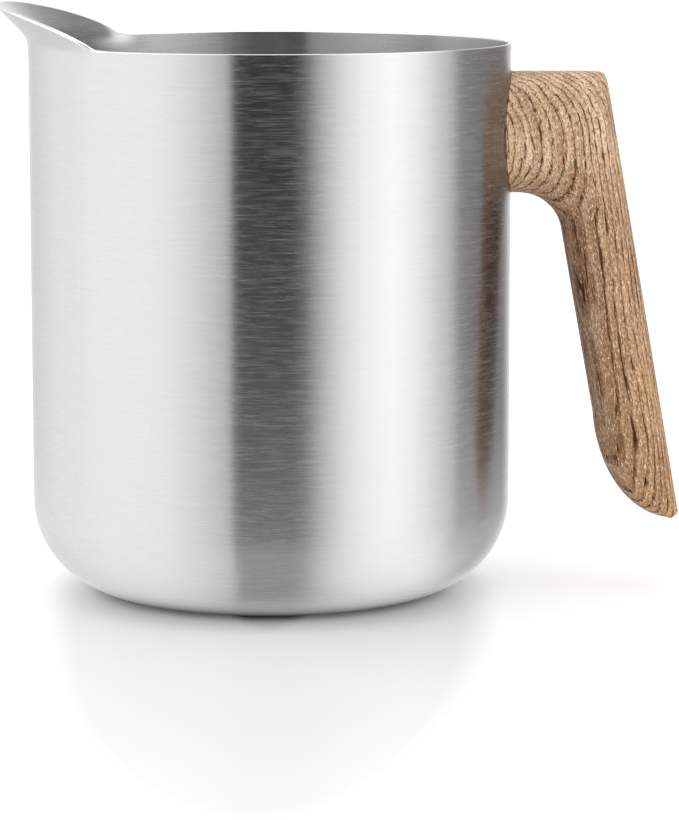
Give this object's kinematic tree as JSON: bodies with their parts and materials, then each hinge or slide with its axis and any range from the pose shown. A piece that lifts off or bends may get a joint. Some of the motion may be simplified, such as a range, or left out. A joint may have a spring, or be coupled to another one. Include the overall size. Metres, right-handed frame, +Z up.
{
  "type": "wax melting pot",
  "caption": "Open round steel pouring pot with a wide drawn spout and an angled oak handle screwed to its wall, for melting and pouring wax.",
  "frame": {"origin": "middle of the pot's flat base, on the plane it stands on", "axes": "+Z up the pot's axis, +X towards the handle so the spout points along -X, +Y to the left of someone looking along +X"},
  "size_m": [0.1566, 0.11, 0.1352],
  "materials": {
    "pot_steel": "fine brushed, the grain running round the pot",
    "oak": "sanded and oiled oak, the grain running down the leg",
    "screw_steel": "plain stainless steel",
    "silicone": "matt translucent silicone",
    "brass": "as turned"
  },
  "bodies": {
    "root": {"pot_shell": "pot_steel", "handle": "oak", "upper_handle_screw": "screw_steel", "lower_handle_screw": "screw_steel", "upper_washer": "screw_steel", "lower_washer": "screw_steel", "upper_seal": "silicone", "lower_seal": "silicone", "upper_threaded_insert": "brass", "lower_threaded_insert": "brass"}
  },
  "joints": []
}
